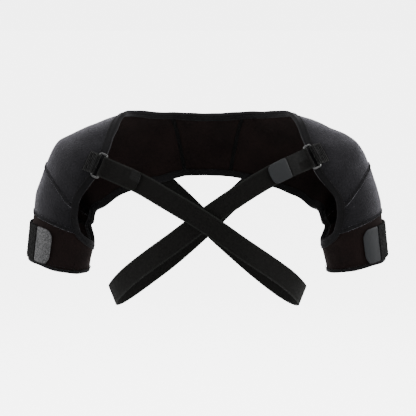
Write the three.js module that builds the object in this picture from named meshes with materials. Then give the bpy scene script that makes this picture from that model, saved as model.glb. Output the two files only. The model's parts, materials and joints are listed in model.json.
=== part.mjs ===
// A double shoulder brace, holding the form it has when worn: a neoprene yoke across the upper back that
// wraps over both shoulders, a short sleeve and a cuff on each upper arm, and two webbing straps that
// cross on the chest, pass under the arms and cross again on the back.
// Units are millimetres. +Z is up, the wearer faces -Y, and +X is the wearer's left side.
// The origin is midway between the two neck corners of the yoke, in the middle plane of the shoulders.
import * as THREE from "three";

// The worn form
const HALF_SPAN = 251; // middle of the body to the outside of a cuff
const DROP = 226; // neck corners down to the lowest rim of a cuff
const BACK_DEPTH = 93; // middle plane to the outside of the back panel
const FRONT_DEPTH = 66; // middle plane to the front of a shoulder
const CHEST_DEPTH = 96; // middle plane to the straps' crossing on the chest

// Cloth
const NEOPRENE = 3; // wall of every panel
const SEAM_GAP = 1.2; // slit between two panels, at the outside of the arm
const TAPE = 0.8; // binding and hem tape
const TAPE_GAP = 0.6; // clearance between a folded tape and the cloth inside it
const BINDING_WIDTH = 9; // how far the binding reaches in from an edge
const HEM_WIDTH = 3; // how far a cuff's hem tape reaches up from the rim

// Webbing
const STRAP_WIDTH = 28;
const STRAP_THICKNESS = 1.6;
const STRAP_SEWN = 34; // length of strap on the outside of the back panel
const STRAP_SEWN_LEAN = 40.5; // degrees between that length and the upright
const STRAP_SEWN_ROW = 1.8; // row of the yoke where a strap meets its lower edge
const STRAP_CROSSING = 2.2; // each strap's step out or in where the two cross
const LAYER_GAP = 0.3; // clearance between webbing and what it lies on
const FOLD_GAP = 0.6; // clearance between a strap and its folded end
const FOLD_START = 1; // middle of the ring's bar to the start of the folded end
const ANCHOR_WIDTH = 28;
const ANCHOR_THICKNESS = 1.2;
const ANCHOR_LENGTH = 20; // middle of the ring to the sewn ends of the anchor
const END_RADIUS = 8; // rounded corners of strap ends and tabs

// Ring
const RING_BAR = 3; // width and height of the ring's bars
const RING_ROUNDING = 1; // of the edges of the bars
const RING_SLOT = 7; // opening, along the strap
const RING_END_GAP = 1; // clearance between the strap's edges and the ends of the ring
const RING_CORNER = 4; // outer corner radius

// Closure of a cuff
const STRIP_THICKNESS = 2.8;
const STRIP_GAP = 0.6; // clearance between the closure and the cuff under it
const GRIP_THICKNESS = 1.8;
const CLOSURE_HEIGHT = 43;
const CLOSURE_RISE = 3; // rim of the cuff to the lower edge of the closure
const STRIP_TURN = [-43, 30]; // degrees round the arm, negative towards the front
const GRIP_TURN = [-76, -44];

// Fineness of the facets
const ROW_STEPS = 2.5; // rows of facets for a row of the table
const STRAP_STEP = 18; // length of a facet along a strap
const ARC_STEPS = 12; // facets round a section, between the bindings
const CUFF_STEPS = 5; // rows of facets of a cuff
const NOTCH_STEPS = 6; // rows of facets from the cuff seam to the point under the arm
const NOTCH_END = 0.02; // of a row, where the free edges stop short of that point
const TURN_STEPS = 6; // facets of a turn round a bar of the ring
const RING_CORNER_STEPS = 3; // facets of a corner of the ring
const CLOSURE_STEP = 7; // degrees round the arm for a facet of a closure
const ROUND_END = [0, 0.12, 0.35, 0.65, 1]; // lines across a rounded end, from its tip, shares of END_RADIUS
const ACROSS = [-1, -0.5, 0, 0.5, 1]; // points of a line across, shares of half of the width

// Sections of the cloth, from the middle of the back to the rim of a cuff. Each lies in a plane that
// holds the Y direction and runs from an outer point to an inner one. Their x is a share of HALF_SPAN
// and their z of DROP; front is a share of FRONT_DEPTH and back of BACK_DEPTH. The two free edges are
// degrees round the section from its outer point, positive towards the back; below the cuff seam they
// close under the arm, so the last two rows only carry them on.
const SECTIONS = [
  { name: "centre", outerX: 0, outerZ: 0.088, innerX: 0, innerZ: -0.841,
    front: 1.21, back: 1, frontEdge: 44, backEdge: 98 },
  { name: "yoke_seam", outerX: 0.207, outerZ: 0.08, innerX: 0.072, innerZ: -0.841,
    front: 1.21, back: 0.99, frontEdge: 40, backEdge: 98 },
  { name: "blade", outerX: 0.339, outerZ: 0.049, innerX: 0.259, innerZ: -0.832,
    front: 1.18, back: 0.935, frontEdge: 31, backEdge: 101.5 },
  { name: "neck", outerX: 0.438, outerZ: 0.013, innerX: 0.366, innerZ: -0.814,
    front: 1.12, back: 0.86, frontEdge: 15, backEdge: 105 },
  { name: "collar", outerX: 0.518, outerZ: -0.027, innerX: 0.442, innerZ: -0.788,
    front: 1.03, back: 0.806, frontEdge: -36, backEdge: 110 },
  { name: "ridge", outerX: 0.605, outerZ: -0.057, innerX: 0.506, innerZ: -0.752,
    front: 1, back: 0.753, frontEdge: -74, backEdge: 117.5 },
  { name: "slope", outerX: 0.714, outerZ: -0.1, innerX: 0.562, innerZ: -0.712,
    front: 0.97, back: 0.71, frontEdge: -91, backEdge: 133 },
  { name: "cap", outerX: 0.809, outerZ: -0.157, innerX: 0.598, innerZ: -0.675,
    front: 0.94, back: 0.667, frontEdge: -103, backEdge: 143 },
  { name: "deltoid", outerX: 0.858, outerZ: -0.218, innerX: 0.614, innerZ: -0.658,
    front: 0.91, back: 0.634, frontEdge: -109, backEdge: 150 },
  { name: "sleeve_seam", outerX: 0.892, outerZ: -0.301, innerX: 0.625, innerZ: -0.657,
    front: 0.864, back: 0.602, frontEdge: -113, backEdge: 155 },
  { name: "upper_arm", outerX: 0.94, outerZ: -0.434, innerX: 0.631, innerZ: -0.682,
    front: 0.803, back: 0.57, frontEdge: -119, backEdge: 157 },
  { name: "mid_arm", outerX: 0.962, outerZ: -0.531, innerX: 0.633, innerZ: -0.707,
    front: 0.758, back: 0.538, frontEdge: -124, backEdge: 155 },
  { name: "cuff_seam", outerX: 0.97, outerZ: -0.602, innerX: 0.641, innerZ: -0.73,
    front: 0.727, back: 0.516, frontEdge: -130, backEdge: 149 },
  { name: "underarm", outerX: 0.98, outerZ: -0.708, innerX: 0.633, innerZ: -0.812,
    front: 0.712, back: 0.505, frontEdge: -132, backEdge: 149 },
  { name: "rim", outerX: 1, outerZ: -0.902, innerX: 0.667, innerZ: -0.988,
    front: 0.682, back: 0.484, frontEdge: -132, backEdge: 149 },
];
const LENGTHS = {
  outerX: HALF_SPAN,
  innerX: HALF_SPAN,
  outerZ: DROP,
  innerZ: DROP,
  front: FRONT_DEPTH,
  back: BACK_DEPTH,
};

// A strap's way round the body, from its ring to the back panel. x is a share of HALF_SPAN, positive on
// the ring's side; y of CHEST_DEPTH and z of DROP. facing is the way its outside looks, in degrees round
// the body from straight ahead, and lean how many degrees it also looks down. left and right are how much
// higher the strap of that side runs there, shares of DROP.
const STRAP_WAY = [
  { at: "collarbone", x: 0.457, y: -0.78, z: -0.347, facing: 8, lean: -8, left: 0.052, right: -0.008 },
  { at: "breast", x: 0.365, y: -0.85, z: -0.397, facing: 6, lean: 0, left: 0.058, right: 0 },
  { at: "chest", x: 0.234, y: -0.93, z: -0.485, facing: 4, lean: 0, left: 0.065, right: 0.007 },
  { at: "front_crossing", x: 0, y: -0.99, z: -0.633, facing: 0, lean: 0, left: 0.039, right: 0.002 },
  { at: "rib", x: -0.174, y: -0.95, z: -0.768, facing: -12, lean: 0, left: 0.025, right: -0.004 },
  { at: "far_rib", x: -0.315, y: -0.82, z: -0.876, facing: -30, lean: 0, left: 0.012, right: -0.01 },
  { at: "flank", x: -0.44, y: -0.6, z: -0.987, facing: -52, lean: 12, left: 0, right: -0.012 },
  { at: "side_front", x: -0.515, y: -0.32, z: -1.085, facing: -74, lean: 20, left: -0.006, right: -0.012 },
  { at: "side", x: -0.535, y: -0.03, z: -1.14, facing: -92, lean: 24, left: -0.008, right: -0.01 },
  { at: "side_back", x: -0.51, y: 0.27, z: -1.165, facing: -110, lean: 20, left: -0.006, right: -0.012 },
  { at: "back_flank", x: -0.435, y: 0.55, z: -1.14, facing: -130, lean: 12, left: 0, right: -0.014 },
  { at: "back_rib", x: -0.328, y: 0.75, z: -1.068, facing: -148, lean: 0, left: 0, right: -0.012 },
  { at: "low_back", x: -0.213, y: 0.9, z: -0.974, facing: -162, lean: 0, left: 0, right: -0.006 },
  { at: "back_crossing", x: 0, y: 1.01, z: -0.765, facing: -180, lean: 0, left: 0, right: 0 },
  { at: "spine", x: 0.13, y: 1.01, z: -0.62, facing: -184, lean: 0, left: 0, right: 0 },
];

// The two sides. row and theta place the middle of the ring on the cloth; fold and grip are the lengths of
// the strap's folded end and of the grip tab on it, as shares of STRAP_WIDTH; step is 1 for the strap that
// passes outside the other at the crossings.
const SIDES = [
  { name: "right", side: -1, row: 5.1, theta: -73, fold: 1.95, grip: 0, step: 1 },
  { name: "left", side: 1, row: 4.8, theta: -65, fold: 1.15, grip: 1, step: -1 },
];

const rowOf = (name) => SECTIONS.findIndex((row) => row.name === name);
const [YOKE_SEAM, SLEEVE_SEAM, CUFF_SEAM, UNDERARM, RIM] =
  ["yoke_seam", "sleeve_seam", "cuff_seam", "underarm", "rim"].map(rowOf);
const { degToRad, lerp, clamp, smoothstep } = THREE.MathUtils;
const MIRRORED_COLUMNS = ["outerX", "innerX"];
const LAST = SECTIONS.length - 1;

// One column of the table at row u, smooth between the rows and mirrored at the middle of the back.
function column(name, u) {
  const at = (i) => {
    const share = SECTIONS[Math.min(Math.abs(i), LAST)][name];
    return (LENGTHS[name] ?? 1) * (i < 0 && MIRRORED_COLUMNS.includes(name) ? -share : share);
  };
  const i = Math.min(Math.floor(u), LAST - 1);
  const t = u - i;
  const [a, b, c, d] = [at(i - 1), at(i), at(i + 1), at(i + 2)];
  const [square, cube] = [2 * a - 5 * b + 4 * c - d, 3 * b - a - 3 * c + d];
  return (2 * b + (c - a) * t + square * t ** 2 + cube * t ** 3) / 2;
}

// The outside of the cloth at row u and theta degrees round the section. side is 1, or -1 to mirror x.
function skin(side, u, theta) {
  const across = Math.cos(degToRad(theta));
  const depth = Math.sin(degToRad(theta));
  const [ox, oz, ix, iz] = ["outerX", "outerZ", "innerX", "innerZ"].map((name) => column(name, u));
  const x = (ox + ix) / 2 + ((ox - ix) / 2) * across;
  const z = (oz + iz) / 2 + ((oz - iz) / 2) * across;
  return new THREE.Vector3(side * x, depth * column(depth > 0 ? "back" : "front", u), z);
}

// How the outside runs along the rows and round the section, per row and per degree.
function tangents(side, u, theta) {
  const du = 0.02;
  const [low, high] = [u - du, Math.min(u + du, RIM)];
  const alongRows = skin(side, high, theta).sub(skin(side, low, theta)).divideScalar(high - low);
  const round = skin(side, u, theta + 0.5).sub(skin(side, u, theta - 0.5));
  return { alongRows, round };
}

function skinNormal(side, u, theta) {
  const { alongRows, round } = tangents(side, u, theta);
  return alongRows.cross(round).multiplyScalar(side).normalize();
}

// The point at a height over the outside of the cloth.
const over = (side, u, theta, lift) => skin(side, u, theta).addScaledVector(skinNormal(side, u, theta), lift);

// Walks over the cloth from a spot { u, theta }, a length in a direction.
function walk(side, from, direction, length) {
  const STEPS = 4;
  let { u, theta } = from;
  for (let i = 0; i < STEPS; i++) {
    const { alongRows, round } = tangents(side, u, theta);
    const [uu, ut, tt] = [alongRows.dot(alongRows), alongRows.dot(round), round.dot(round)];
    const [du, dt] = [alongRows.dot(direction), round.dot(direction)];
    const step = length / STEPS / (uu * tt - ut ** 2);
    u += step * (tt * du - ut * dt);
    theta += step * (uu * dt - ut * du);
  }
  return { u, theta };
}

// A free edge of the cloth at row t, as a spot. From the cuff seam on it turns a quarter of an ellipse and
// ends under the arm.
function edgeAt(edge, t) {
  if (t <= CUFF_SEAM) return { u: t, theta: column(edge, t) };
  const start = SECTIONS[CUFF_SEAM][edge];
  const turn = ((t - CUFF_SEAM) / (UNDERARM - CUFF_SEAM)) * (Math.PI / 2);
  const theta = lerp(start, Math.sign(start) * 180, 1 - Math.cos(turn));
  return { u: lerp(CUFF_SEAM, UNDERARM, Math.sin(turn)), theta };
}

// Half of a seam's gap, in rows.
const halfGap = (seam) => SEAM_GAP / 2 / tangents(1, seam, 0).alongRows.length();

const spread = (a, b, steps) => Array.from({ length: steps + 1 }, (_, i) => lerp(a, b, i / steps));

// A closed solid between two grids of points. With ring, each row closes on itself. Where turned(row,
// column) is true, a cell's diagonal runs the other way.
function solidBetween(outer, inner, ring = false, turned = () => false) {
  const rows = outer.length;
  const columns = outer[0].length;
  const faces = [];
  const at = (layer, i, j) => (layer * rows + i) * columns + (j % columns);
  const quad = (a, b, c, d) => faces.push(a, b, c, a, c, d);
  const across = ring ? columns : columns - 1;
  for (let j = 0; j < across; j++) {
    for (let i = 0; i < rows - 1; i++) {
      const corners = [at(0, i, j), at(0, i + 1, j), at(0, i + 1, j + 1), at(0, i, j + 1)];
      const below = [at(1, i, j + 1), at(1, i + 1, j + 1), at(1, i + 1, j), at(1, i, j)];
      if (turned(i, j)) corners.push(corners.shift());
      else below.unshift(below.pop());
      quad(...corners);
      quad(...below);
    }
    quad(at(0, 0, j), at(0, 0, j + 1), at(1, 0, j + 1), at(1, 0, j));
    quad(at(0, rows - 1, j), at(1, rows - 1, j), at(1, rows - 1, j + 1), at(0, rows - 1, j + 1));
  }
  for (let i = 0; i < rows - 1 && !ring; i++) {
    quad(at(0, i, 0), at(1, i, 0), at(1, i + 1, 0), at(0, i + 1, 0));
    quad(at(0, i, across), at(0, i + 1, across), at(1, i + 1, across), at(1, i, across));
  }
  return facingOut([...outer.flat(), ...inner.flat()], faces);
}

// The closed surface as a geometry, with its faces turned outwards.
function facingOut(points, faces) {
  let volume = 0;
  for (let i = 0; i < faces.length; i += 3) {
    const [a, b, c] = faces.slice(i, i + 3).map((index) => points[index]);
    volume += a.dot(b.clone().cross(c));
  }
  if (volume < 0) faces.reverse();
  const geometry = new THREE.BufferGeometry().setFromPoints(points);
  geometry.setIndex(faces);
  geometry.computeVertexNormals();
  return geometry;
}

// Rows of facets, the same for the panels and for the bindings on their edges: the seams' gaps are rows
// of their own.
const SEAMS = [YOKE_SEAM, SLEEVE_SEAM, CUFF_SEAM];
const SEAM_ROWS = SEAMS.flatMap((seam) => [seam - halfGap(seam), seam + halfGap(seam)]);
const STOPS = [0, ...SEAM_ROWS, UNDERARM - NOTCH_END];

function rowsBetween(first, last) {
  const [a, b] = [STOPS[first], STOPS[last]];
  return spread(a, b, Math.round((b - a) * ROW_STEPS));
}

const YOKE_ROWS = rowsBetween(0, 1);
const SHOULDER_ROWS = rowsBetween(2, 3);
const SLEEVE_ROWS = rowsBetween(4, 5);
const NOTCH_ROWS = spread(STOPS[6], STOPS[7], NOTCH_STEPS);
const HALF_BINDING = [YOKE_ROWS, SHOULDER_ROWS, SLEEVE_ROWS, NOTCH_ROWS].flat();

// Stations from one side over the middle of the back to the other, as [side, row].
const bothSides = (rows) => [...rows.slice(1).reverse().map((u) => [-1, u]), ...rows.map((u) => [1, u])];

// Stations of one side.
const oneSide = (side, rows) => rows.map((u) => [side, u]);

// The way into the cloth from its edge at row t, at right angles to the edge.
function inwardAt(side, edge, t) {
  const here = edgeAt(edge, t);
  const dt = 0.05;
  const before = edgeAt(edge, Math.max(t - dt, 0));
  const after = edgeAt(edge, Math.min(t + dt, UNDERARM));
  const along = skin(side, after.u, after.theta).sub(skin(side, before.u, before.theta));
  const inward = along.cross(skinNormal(side, here.u, here.theta)).normalize();
  return inward.multiplyScalar(edge === "frontEdge" ? -side : side);
}

// The spot under the inner rim of the binding, and all the spots of a line of a panel: both edges, the
// rims of both bindings, and even steps between them.
const rimOfBinding = (edge, t) => walk(1, edgeAt(edge, t), inwardAt(1, edge, t), BINDING_WIDTH);

function panelLine(t) {
  const [front, back] = [rimOfBinding("frontEdge", t), rimOfBinding("backEdge", t)];
  const between = spread(0, 1, ARC_STEPS).map((share) => ({
    u: t + (front.u - t) * (1 - share) ** 3 + (back.u - t) * share ** 3,
    theta: lerp(front.theta, back.theta, share),
  }));
  return [edgeAt("frontEdge", t), ...between, edgeAt("backEdge", t)];
}

// A neoprene panel over stations, from one free edge of the cloth to the other. The part of it that lies
// before the middle of the back is a mirror image of the rest.
function panel(stations) {
  const layer = (lift) =>
    stations.map(([side, t]) => panelLine(t).map(({ u, theta }) => over(side, u, theta, lift)));
  const mirrored = (i) => stations[i][0] !== stations[stations.length - 1][0];
  return solidBetween(layer(0), layer(-NEOPRENE), false, mirrored);
}

// The top of a cuff runs along the seam and dips under the arm, where the free edges end.
function cuffTop() {
  const [front, back] = ["frontEdge", "backEdge"].map((edge) => NOTCH_ROWS.map((t) => edgeAt(edge, t)));
  const sleeveEdge = panelLine(CUFF_SEAM - halfGap(CUFF_SEAM)).slice(1, -1);
  const seam = sleeveEdge.map(({ u, theta }) => ({ u: u + 2 * halfGap(CUFF_SEAM), theta }));
  return [...front.reverse(), ...seam, ...back];
}

// A cuff is a whole tube.
function cuff(side) {
  const line = (share, lift) => cuffTop().map(({ u, theta }) => over(side, lerp(u, RIM, share), theta, lift));
  const layer = (lift) => spread(0, 1, CUFF_STEPS).map((share) => line(share, lift));
  return solidBetween(layer(0), layer(-NEOPRENE), true);
}

// A tape folded over an edge, as corners of its cross-section: reach in from the edge, and height.
function tapeSection(width, gap) {
  return [[width, gap], [-gap, gap], [-gap, -NEOPRENE - gap], [width, -NEOPRENE - gap]];
}

// A cross-section of a binding at row t of an edge. Its two legs follow the cloth.
function bindingAt(side, edge, t, section) {
  const here = edgeAt(edge, t);
  const rim = rimOfBinding(edge, t);
  return section.map(([reach, lift]) => {
    if (reach > 0) return over(side, rim.u, rim.theta, lift);
    return over(side, here.u, here.theta, lift).addScaledVector(inwardAt(side, edge, t), reach);
  });
}

// Binding along a free edge, from under one arm to under the other.
function binding(edge) {
  const stations = bothSides(HALF_BINDING);
  const layer = (gap) =>
    stations.map(([side, t]) => bindingAt(side, edge, t, tapeSection(BINDING_WIDTH, gap)));
  const turnedLeg = edge === "frontEdge" ? 0 : 2;
  const likePanel = (i, leg) => (leg === turnedLeg) !== stations[i][0] < 0;
  return solidBetween(layer(TAPE_GAP + TAPE), layer(TAPE_GAP), false, likePanel);
}

// Hem tape round the rim of a cuff.
function cuffHem(side) {
  const layer = (gap) =>
    tapeSection(HEM_WIDTH, gap).map(([reach, lift]) =>
      cuffTop().map(({ theta }) => {
        const up = tangents(side, RIM, theta).alongRows.normalize().negate();
        return over(side, RIM, theta, lift).addScaledVector(up, reach);
      }));
  return solidBetween(layer(TAPE_GAP + TAPE), layer(TAPE_GAP), true);
}

// Ring, anchor and strap meet in the ring's own frame: its middle, the strap's way, the way along the bars
// and the way out.
const BAR = (RING_SLOT + RING_BAR) / 2; // middle of the ring to the middle of a bar
const RING_LIFT = TAPE_GAP + TAPE + 2 * LAYER_GAP + STRAP_THICKNESS + RING_BAR / 2;
const wrapRadius = (thickness) => RING_BAR / 2 + LAYER_GAP + thickness / 2;

const strapPoint = ({ name, side }, row) =>
  new THREE.Vector3(side * row.x * HALF_SPAN, row.y * CHEST_DEPTH, (row.z + row[name]) * DROP);

function ringFrame(spec) {
  const { side, row, theta } = spec;
  const out = skinNormal(side, row, theta);
  const middle = over(side, row, theta, RING_LIFT);
  const forward = strapPoint(spec, STRAP_WAY[0]).sub(middle).projectOnPlane(out).normalize();
  const across = out.clone().cross(forward);
  const at = (x, lift, y = 0) =>
    middle.clone().addScaledVector(forward, x).addScaledVector(out, lift).addScaledVector(across, y);
  const turned = (angle) =>
    forward.clone().multiplyScalar(Math.cos(angle)).addScaledVector(out, Math.sin(angle));
  return { middle, out, forward, across, at, turned };
}

// A rectangular ring with rounded edges.
function ringGeometry() {
  const rounded = (shape, length, width, radius) => {
    const [x, y] = [length / 2, width / 2];
    shape.moveTo(x, -y + radius);
    shape.lineTo(x, y - radius).absarc(x - radius, y - radius, radius, 0, Math.PI / 2);
    shape.lineTo(-x + radius, y).absarc(-x + radius, y - radius, radius, Math.PI / 2, Math.PI);
    shape.lineTo(-x, -y + radius).absarc(-x + radius, -y + radius, radius, Math.PI, -Math.PI / 2);
    shape.lineTo(x - radius, -y).absarc(x - radius, -y + radius, radius, -Math.PI / 2, 0);
    return shape;
  };
  const inset = 2 * RING_ROUNDING;
  const [slotX, slotY] = [RING_SLOT, STRAP_WIDTH + 2 * RING_END_GAP];
  const [outerX, outerY] = [slotX + 2 * RING_BAR - inset, slotY + 2 * RING_BAR - inset];
  const shape = rounded(new THREE.Shape(), outerX, outerY, RING_CORNER - RING_ROUNDING);
  const slotRadius = RING_CORNER - RING_BAR + RING_ROUNDING;
  shape.holes.push(rounded(new THREE.Path(), slotX + inset, slotY + inset, slotRadius));
  return new THREE.ExtrudeGeometry(shape, {
    depth: RING_BAR - inset,
    bevelThickness: RING_ROUNDING,
    bevelSize: RING_ROUNDING,
    bevelSegments: 1,
    curveSegments: RING_CORNER_STEPS,
  }).translate(0, 0, RING_ROUNDING - RING_BAR / 2);
}

// Webbing through stations { point, across, out, half }: its middle line, the way across it, the way out
// and half of its width.
function webbing(stations, thickness) {
  const layer = (lift) =>
    stations.map(({ point, across, out, half }) =>
      [-half, 0, half].map((aside) => point.clone().addScaledVector(across, aside).addScaledVector(out, lift)));
  return solidBetween(layer(thickness / 2), layer(-thickness / 2));
}

// Half of the width at a distance from a rounded end.
function halfNearEnd(distance, width) {
  const d = clamp(distance, 0, END_RADIUS);
  return width / 2 - END_RADIUS + Math.sqrt(END_RADIUS ** 2 - (END_RADIUS - d) ** 2);
}

// The way of a strap and the way it faces, as two curves that run in step.
function strapCurves(spec) {
  const { side, step } = spec;
  const frame = ringFrame(spec);
  const stops = [
    { point: frame.at(BAR, -wrapRadius(STRAP_THICKNESS)), out: frame.out },
    { point: frame.at(2 * BAR, -wrapRadius(STRAP_THICKNESS)), out: frame.out },
  ];
  for (const row of STRAP_WAY) {
    const facing = degToRad(row.facing);
    const out = new THREE.Vector3(side * Math.sin(facing), -Math.cos(facing), -Math.tan(degToRad(row.lean)));
    const fromMiddle = Math.abs(row.x) * HALF_SPAN;
    const lift = step * STRAP_CROSSING * (1 - smoothstep(fromMiddle, STRAP_WIDTH, 3 * STRAP_WIDTH));
    stops.push({ point: strapPoint(spec, row).addScaledVector(out, lift), out });
  }
  const foot = edgeAt("backEdge", STRAP_SEWN_ROW);
  const lean = degToRad(STRAP_SEWN_LEAN);
  const heading = new THREE.Vector3(side * Math.sin(lean), 0, Math.cos(lean));
  const overBinding = TAPE_GAP + TAPE + LAYER_GAP + STRAP_THICKNESS;
  const onCloth = LAYER_GAP + STRAP_THICKNESS / 2 + TAPE_GAP;
  for (const reach of [0, BINDING_WIDTH, 2 * BINDING_WIDTH, STRAP_SEWN]) {
    const lift = reach > BINDING_WIDTH ? onCloth : overBinding;
    const spot = walk(side, foot, heading, reach);
    stops.push({ point: over(side, spot.u, spot.theta, lift), out: skinNormal(side, spot.u, spot.theta) });
  }
  const way = new THREE.CatmullRomCurve3(stops.map((stop) => stop.point));
  const facing = new THREE.CatmullRomCurve3(stops.map((stop) => stop.out));
  way.arcLengthDivisions = 600;
  return { frame, way, facing };
}

// A station of a strap's way at a distance from the ring's bar, lifted out.
function strapStation({ way, facing }, distance, lift, half) {
  const t = way.getUtoTmapping(0, distance);
  const along = way.getTangent(t);
  const across = along.clone().cross(facing.getPoint(t)).normalize();
  const out = across.clone().cross(along).normalize();
  return { point: way.getPoint(t).addScaledVector(out, lift), across, out, half };
}

// A strap: its folded end, the turn round the ring's bar, and the long way to the back panel.
function strap(spec) {
  const curves = strapCurves(spec);
  const { frame, way } = curves;
  const radius = wrapRadius(STRAP_THICKNESS);
  const half = STRAP_WIDTH / 2;
  const foldLength = spec.fold * STRAP_WIDTH;
  const foldLift = (distance) => {
    const closed = STRAP_THICKNESS + FOLD_GAP;
    return lerp(2 * radius, closed, smoothstep(distance, 0, 2 * BAR));
  };
  const endOffsets = spec.grip ? [0] : ROUND_END.map((share) => share * END_RADIUS);
  const foldEnd = endOffsets.map((offset) => {
    const width = spec.grip ? half : halfNearEnd(offset, STRAP_WIDTH);
    const distance = foldLength - offset;
    return strapStation(curves, distance, foldLift(distance), width);
  });
  const foldSteps = Math.round(foldLength / (STRAP_STEP / 2));
  const lastOffset = endOffsets[endOffsets.length - 1];
  const foldStops = spread(foldLength - lastOffset, FOLD_START, foldSteps).slice(1);
  const fold = foldStops.map((d) => strapStation(curves, d, foldLift(d), half));
  const across = frame.across.clone().negate();
  const turn = spread(Math.PI / 2, 1.5 * Math.PI, TURN_STEPS).map((angle) => {
    const out = frame.turned(angle);
    return { point: frame.at(BAR, 0).addScaledVector(out, radius), across, out, half };
  });
  const length = way.getLength();
  const long = spread(STRAP_STEP / 2, length, Math.round(length / STRAP_STEP)).map((d) => {
    const station = strapStation(curves, d, 0, half);
    return { ...station, out: station.out.negate() };
  });
  return webbing([...foldEnd, ...fold, ...turn, ...long], STRAP_THICKNESS);
}

// A grip tab goes on where the folded end of its strap stops.
function strapGrip(spec) {
  const curves = strapCurves(spec);
  const start = spec.fold * STRAP_WIDTH + LAYER_GAP;
  const length = spec.grip * STRAP_WIDTH;
  const tip = ROUND_END.slice(0, -1).reverse().map((share) => length - share * END_RADIUS);
  const offsets = [...spread(0, length - END_RADIUS, 3), ...tip];
  const lift = STRAP_THICKNESS / 2 + FOLD_GAP + GRIP_THICKNESS / 2;
  const stations = offsets.map((offset) => {
    const half = halfNearEnd(length - offset, STRAP_WIDTH);
    return strapStation(curves, start + offset, lift, half);
  });
  return webbing(stations, GRIP_THICKNESS);
}

// Lines of an anchor across its sewn ends. reach is a share of ANCHOR_LENGTH from the middle of the ring,
// and apart is how far its upper end lies over the lower one, in layers of webbing.
const ANCHOR_LINES = [
  { reach: 1, onBinding: false, apart: 1 },
  { reach: 0.8, onBinding: true, apart: 1 },
  { reach: 0.5, onBinding: true, apart: 1.8 },
];

// The anchor: webbing sewn to the cloth at both ends, round the ring's outer bar.
function anchor(spec) {
  const { side, row, theta } = spec;
  const frame = ringFrame(spec);
  const radius = wrapRadius(ANCHOR_THICKNESS);
  const back = frame.forward.clone().negate();
  const asides = ACROSS.map((share) => (share * ANCHOR_WIDTH) / 2);
  const sewn = ({ reach, onBinding }, extra) =>
    asides.map((aside) => {
      const inLine = walk(side, { u: row, theta }, back, reach * ANCHOR_LENGTH);
      const spot = walk(side, inLine, frame.across, aside);
      const lift = LAYER_GAP + ANCHOR_THICKNESS / 2 + (onBinding ? TAPE_GAP + TAPE : 0) + extra;
      return { point: over(side, spot.u, spot.theta, lift), out: skinNormal(side, spot.u, spot.theta) };
    });
  const wrapped = (angle) => {
    const out = frame.turned(angle);
    return asides.map((aside) => ({ point: frame.at(-BAR, 0, aside).addScaledVector(out, radius), out }));
  };
  const beside = (way) => {
    const out = frame.out.clone().multiplyScalar(way);
    return asides.map((aside) => ({ point: frame.at(-BAR - RING_BAR, way * radius, aside), out }));
  };
  const flipped = (line) => line.map(({ point, out }) => ({ point, out: out.clone().negate() }));
  const layerHeight = ANCHOR_THICKNESS + LAYER_GAP;
  const lower = ANCHOR_LINES.map((line) => flipped(sewn(line, 0)));
  const turn = spread(-Math.PI / 2, Math.PI / 2, TURN_STEPS).map(wrapped);
  const upper = [...ANCHOR_LINES].reverse().map((line) => sewn(line, layerHeight * line.apart));
  const grid = [...lower, beside(-1), ...turn, beside(1), ...upper];
  const layer = (lift) =>
    grid.map((line) => line.map(({ point, out }) => point.clone().addScaledVector(out, lift)));
  return solidBetween(layer(ANCHOR_THICKNESS / 2), layer(-ANCHOR_THICKNESS / 2));
}

// A patch that lies on a cuff between two turns, with rounded corners at the turn named round.
function cuffPatch(side, [from, to], thickness, round) {
  const angles = spread(from, to, Math.round(Math.abs(to - from) / CLOSURE_STEP));
  const perDegree = tangents(side, (UNDERARM + RIM) / 2, (from + to) / 2).round.length();
  const layer = (lift) =>
    angles.map((theta) => {
      const distance = Math.abs(theta - (round ?? NaN)) * perDegree;
      const half = round === undefined ? CLOSURE_HEIGHT / 2 : halfNearEnd(distance, CLOSURE_HEIGHT);
      const rim = { u: RIM, theta };
      const up = tangents(side, RIM, theta).alongRows.normalize().negate();
      return ACROSS.map((share) => {
        const spot = walk(side, rim, up, CLOSURE_RISE + CLOSURE_HEIGHT / 2 + share * half);
        return over(side, spot.u, spot.theta, lift);
      });
    });
  return solidBetween(layer(STRIP_GAP + thickness), layer(STRIP_GAP));
}

const brace = new THREE.Group();
brace.name = "shoulder_brace";

const finish = (color, roughness, metalness = 0) =>
  new THREE.MeshStandardMaterial({ color, roughness, metalness });
const OUTER_CLOTH = finish(0x29292e, 0.9);
const CUFF_CLOTH = finish(0x19171a, 0.95);
const BINDING_TAPE = finish(0x2b2b2d, 0.9);
const WEBBING = finish(0x1c1c1c, 0.85);
const PILE = finish(0x141414, 1);
const GRIP = finish(0x393d42, 0.6);
const LIGHT_GRIP = finish(0x55555a, 0.85);
const RING = finish(0x2c2c2c, 0.35, 0.5);

function add(name, geometry, material) {
  const mesh = new THREE.Mesh(geometry, material);
  mesh.name = name;
  brace.add(mesh);
  return mesh;
}

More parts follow.
